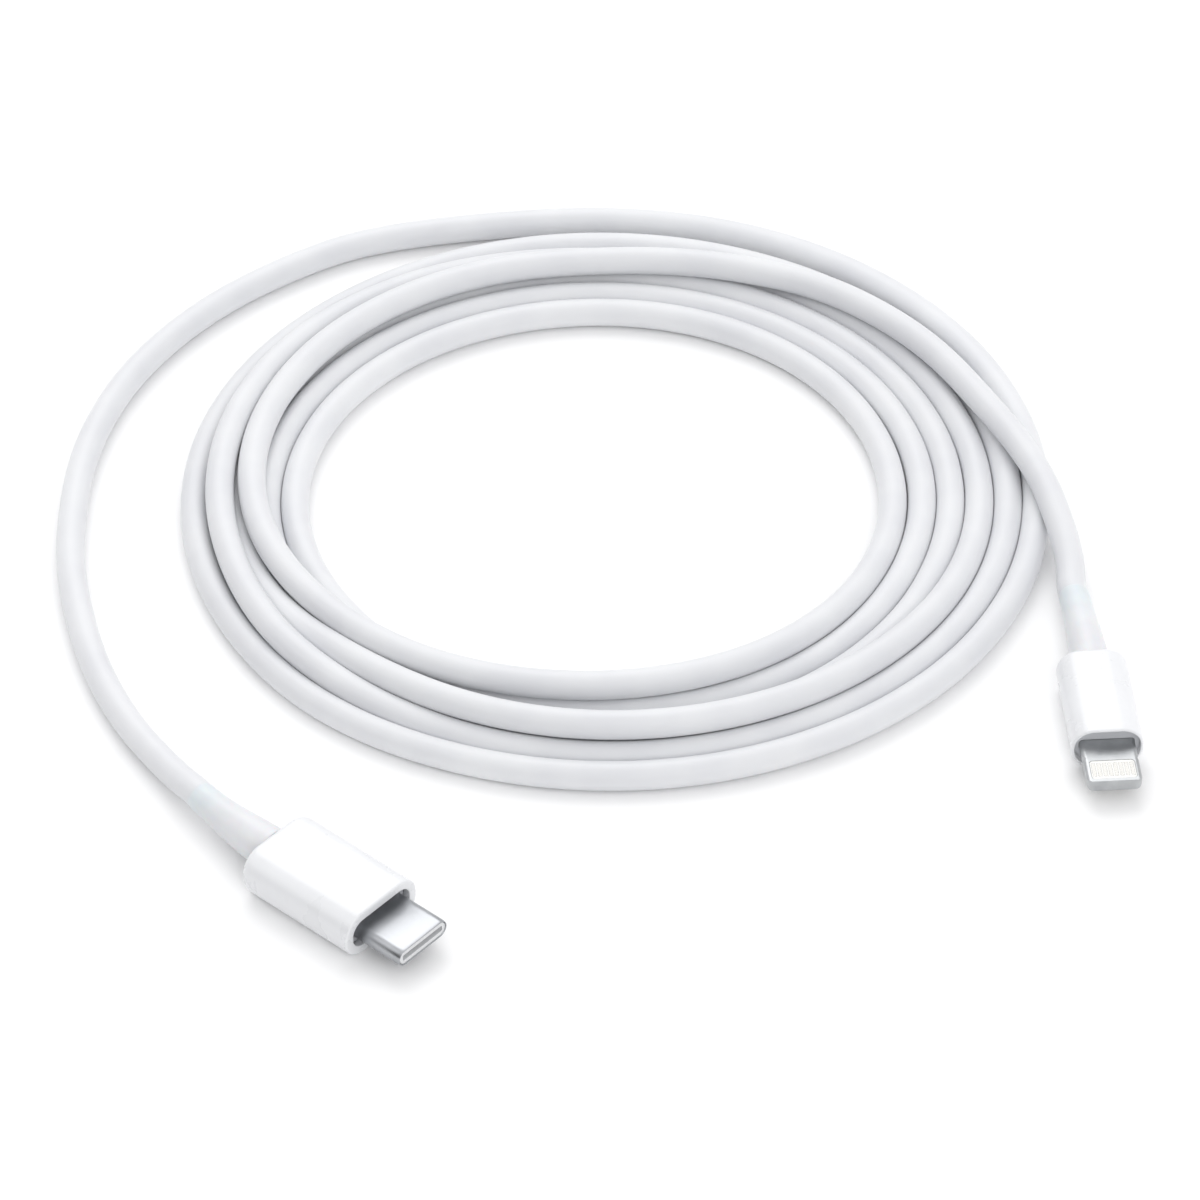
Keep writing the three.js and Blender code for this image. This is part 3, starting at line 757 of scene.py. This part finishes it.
def make_shell():
    """The type-C shell: one drawn oval tube, its nose tapered a little and its front edge rolled in."""
    width, height, wall = 8.25, 2.4, 0.2
    rear, front, nose = -7.0, 6.5, 0.5
    taper, roll = 0.06, 0.09

    def ring(x, inset):
        return TYPE_C.ring(x, width - 2 * inset, height - 2 * inset, height / 2 - inset)

    rings = [ring(rear, 0), ring(front - 2 * nose, 0)]
    rings += [ring(front - nose, 0.01), ring(front - nose / 2, 0.035)]
    for angle in quarter_turn(8):
        back = roll * (1 - math.sin(2 * angle)) if angle < math.pi / 4 else 0
        rings.append(ring(front - back, taper + roll * 2 * angle / math.pi))
    rings += [ring(front - 0.12, wall), ring(front - 1, wall), ring(rear, wall)]
    piece = loft("type_c_shell_drawn", rings, True, BRIGHT_STEEL)
    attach(piece, "type_c_plug")
    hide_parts("type_c_shell")


type_c_housing = make_housing(
    "type_c_housing_moulding",
    TYPE_C,
    "type_c_plug",
    size=(TYPE_C_LENGTH, 12.0, 6.2, 2.9),
    wall=0.8,
    lip=1.2,
    rear=(1.3, 0.8),
    neck=2.3,
)
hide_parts("type_c_housing")
blade_housing = make_housing(
    "blade_housing_moulding",
    BLADE,
    "blade_plug",
    size=(BLADE_LENGTH, 8.7, 5.8, 2.7),
    wall=0.6,
    lip=0.35,
    rear=(0.9, 0.8),
    neck=2.2,
)
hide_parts("blade_housing")
type_c_relief = make_relief(
    "type_c_relief_sleeve",
    TYPE_C,
    TYPE_C_LENGTH,
    radii=(2.65, 1.88),
    neck=2.2,
    bend=TYPE_C_BEND,
    flange=(7.4, 4.3, 2.05, 0.9),
)
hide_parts("type_c_strain_relief")
blade_relief = make_relief(
    "blade_relief_sleeve",
    BLADE,
    BLADE_LENGTH,
    radii=(2.35, 1.88),
    neck=2.1,
    bend=BLADE_BEND,
    flange=(5.6, 4.3, 2.05, 0.9),
)
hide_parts("blade_strain_relief")
make_shell()


# ---- Table and light ----

def make_table():
    """A matt white paper sheet, far larger than the cable."""
    settings = {"IOR": 1.4, "Specular IOR Level": 0.2}
    material, tree, shader, place = start_material("matt_white_paper", settings)
    vary(tree, shader, place.outputs["Object"], 40, ("FAFAFA", "FDFDFD"), (0.85, 0.95))
    mesh = bpy.data.meshes.new("table")
    half = 3
    corners = [(-half, -half, 0), (half, -half, 0), (half, half, 0), (-half, half, 0)]
    mesh.from_pydata(corners, [], [(0, 1, 2, 3)])
    mesh.materials.append(material)
    table = bpy.data.objects.new("table", mesh)
    bpy.context.scene.collection.objects.link(table)
    table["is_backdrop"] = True


def make_light(name, place, size, power):
    """A square soft box that faces the middle of the coil."""
    data = bpy.data.lights.new(name, "AREA")
    data.size = size
    data.energy = power
    light = bpy.data.objects.new(name, data)
    bpy.context.scene.collection.objects.link(light)
    light.location = COIL_CENTRE + Vector(place)
    light.rotation_euler = (-Vector(place)).to_track_quat("-Z", "Y").to_euler()


def make_sky():
    """A white room with one darker corner, near and left, which puts a dark band along the metal's sides."""
    world = bpy.data.worlds.new("studio")
    bpy.context.scene.world = world
    world.use_nodes = True
    tree = world.node_tree
    place = add(tree, "ShaderNodeTexCoord", {})
    away = add(
        tree,
        "ShaderNodeVectorMath",
        {"operation": "DOT_PRODUCT", 1: (0.8, 0.6, 0)},
        [(0, place.outputs["Generated"])],
    )
    far = add(tree, "ShaderNodeMath", {"operation": "ADD", 1: 1.0}, [(0, away.outputs["Value"])])
    walls = add(tree, "ShaderNodeValToRGB", {}, [("Fac", far.outputs["Value"])])
    ramp = walls.color_ramp.elements
    ramp[0].position, ramp[0].color = 0.08, linear("303134")
    ramp[1].position, ramp[1].color = 0.34, linear("FDFDFE")
    sky = tree.nodes["Background"]
    sky.inputs["Strength"].default_value = 0.92
    tree.links.new(walls.outputs["Color"], sky.inputs["Color"])


make_table()
make_light("window_behind", place=(-0.15, 0.75, 1.0), size=0.9, power=5)
make_light("window_left", place=(-0.9, -0.1, 0.7), size=0.6, power=0.7)
make_light("window_near", place=(0.35, -0.9, 0.75), size=0.7, power=2.2)
make_sky()
bpy.context.scene.view_settings.view_transform = "Standard"


def write_sizes():
    """Measures the CAD model's box and the finished model's, low and high corner each, and prints the cord's
    length.
    """
    boxes = {"cad": CAD_BOX, "visual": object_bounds()}
    {name: [list(corner) for corner in box] for name, box in boxes.items()}
    print("cord length", round(CORD_LENGTH, 4))


write_sizes()
